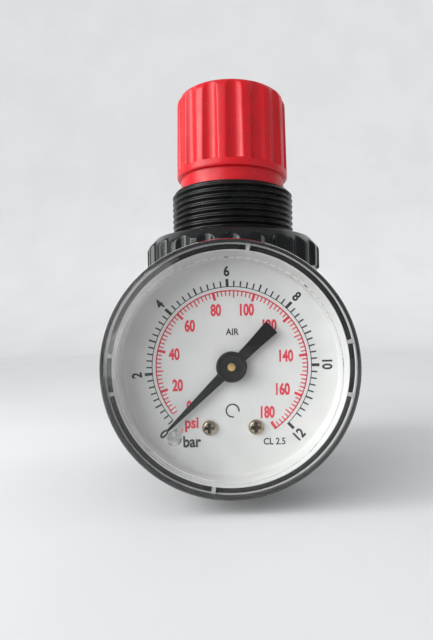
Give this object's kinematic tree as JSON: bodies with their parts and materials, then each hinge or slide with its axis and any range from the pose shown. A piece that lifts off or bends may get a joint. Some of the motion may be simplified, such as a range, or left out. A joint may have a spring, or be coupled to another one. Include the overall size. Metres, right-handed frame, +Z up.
{
  "type": "air pressure regulator",
  "caption": "Compact air pressure regulator: fluted push-lock knob, threaded bonnet with panel ring nut, side ports and a round dial gauge on the front.",
  "frame": {"origin": "on the knob's axis, in the flat bottom face of the bottom plug", "axes": "+Z up along the knob's axis, -Y out through the gauge, +X out of the outlet port"},
  "size_m": [0.05, 0.0677, 0.0972],
  "materials": {
    "die_cast_black": "satin black paint on a zinc die casting",
    "bonnet_nylon": "black moulded nylon, fine mould texture",
    "nut_nylon": "glossy black moulded nylon",
    "knob_red": "red moulded plastic, soft sheen",
    "zinc_steel": "zinc plated",
    "spring_steel": "drawn spring wire",
    "rubber_black": "matt",
    "seal_white": "white sealing washer",
    "seat_acetal": "moulded acetal",
    "brass": "turned",
    "bronze": "drawn bronze",
    "case_black": "black moulded case",
    "nickel_screw": "nickel plated",
    "lens_clear": "clear moulded lens",
    "dial_white": "white printed sheet",
    "pointer_black": "matt black"
  },
  "bodies": {
    "regulator": {"body": "die_cast_black", "bottom_plug": "die_cast_black", "plug_ring": "rubber_black", "valve_seat": "brass", "valve_spring": "spring_steel", "stem_ring": "rubber_black", "diaphragm": "rubber_black", "bonnet": "bonnet_nylon", "range_spring": "spring_steel", "rear_plug": "brass", "rear_seal": "seal_white", "gauge_socket": "brass", "gauge_seal": "seal_white", "gauge_case": "case_black", "case_screw_left": "nickel_screw", "case_screw_right": "nickel_screw", "gauge_lens": "lens_clear", "dial": "dial_white", "dial_screw_left": "nickel_screw", "dial_screw_right": "nickel_screw", "movement_back": "brass", "movement_front": "brass", "pressure_tube": "bronze", "tube_tip": "brass", "hairspring": "bronze"},
    "knob": {"knob": "knob_red"},
    "adjusting_screw": {"adjusting_screw": "zinc_steel", "screw_clip": "zinc_steel"},
    "spring_seat": {"spring_seat": "seat_acetal"},
    "panel_nut": {"panel_nut": "nut_nylon"},
    "diaphragm_stack": {"diaphragm_hub": "brass", "diaphragm_plate": "zinc_steel", "hub_nut": "zinc_steel"},
    "valve": {"valve_poppet": "brass", "valve_disc": "rubber_black"},
    "pointer": {"pointer": "pointer_black", "pointer_arbor": "brass"},
    "sector": {"sector_gear": "brass"},
    "link": {"sector_link": "brass"}
  },
  "joints": [
    {"name": "knob_turn", "type": "hinge", "parent": "regulator", "child": "adjusting_screw", "pos_m": [0, 0, 0.066], "axis": [0, 0, 1], "range_deg": [-2160, 0]},
    {"name": "knob_lock", "type": "slide", "parent": "adjusting_screw", "child": "knob", "axis": [0, 0, 1], "range_m": [-0.0025, 0]},
    {"name": "seat_travel", "type": "slide", "parent": "regulator", "child": "spring_seat", "axis": [0, 0, 1], "range_m": [-0.006, 0], "deforming": ["range_spring"]},
    {"name": "nut_travel", "type": "slide", "parent": "regulator", "child": "panel_nut", "axis": [0, 0, 1], "range_m": [-0.002, 0.011]},
    {"name": "diaphragm_travel", "type": "slide", "parent": "regulator", "child": "diaphragm_stack", "axis": [0, 0, 1], "range_m": [-0.0009, 0], "stiffness_N_per_m": 800, "springref_m": 0.002, "deforming": ["diaphragm"]},
    {"name": "valve_lift", "type": "slide", "parent": "regulator", "child": "valve", "axis": [0, 0, 1], "range_m": [-0.0009, 0], "stiffness_N_per_m": 800, "springref_m": 0.002, "deforming": ["valve_spring"]},
    {"name": "pointer_turn", "type": "hinge", "parent": "regulator", "child": "pointer", "pos_m": [0, -0.0345, 0.028], "axis": [0, 1, 0], "range_deg": [0, 270], "stiffness_Nm_per_rad": 0.0001, "springref_deg": -28.65, "deforming": ["pressure_tube", "tube_tip", "hairspring"]},
    {"name": "sector_turn", "type": "hinge", "parent": "regulator", "child": "sector", "pos_m": [0, -0.0289, 0.0175], "axis": [0, 1, 0], "range_deg": [-45, 0]},
    {"name": "link_turn", "type": "hinge", "parent": "sector", "child": "link", "pos_m": [0.002, -0.0282, 0.0159], "axis": [0, 1, 0], "range_deg": [0, 45]}
  ],
  "couplings": [
    {"joint": "seat_travel", "follows": "knob_turn", "m_per_rad": 0.00015915},
    {"joint": "valve_lift", "follows": "diaphragm_travel", "ratio": 1},
    {"joint": "sector_turn", "follows": "pointer_turn", "ratio": -0.16667},
    {"joint": "link_turn", "follows": "pointer_turn", "ratio": 0.16667}
  ]
}
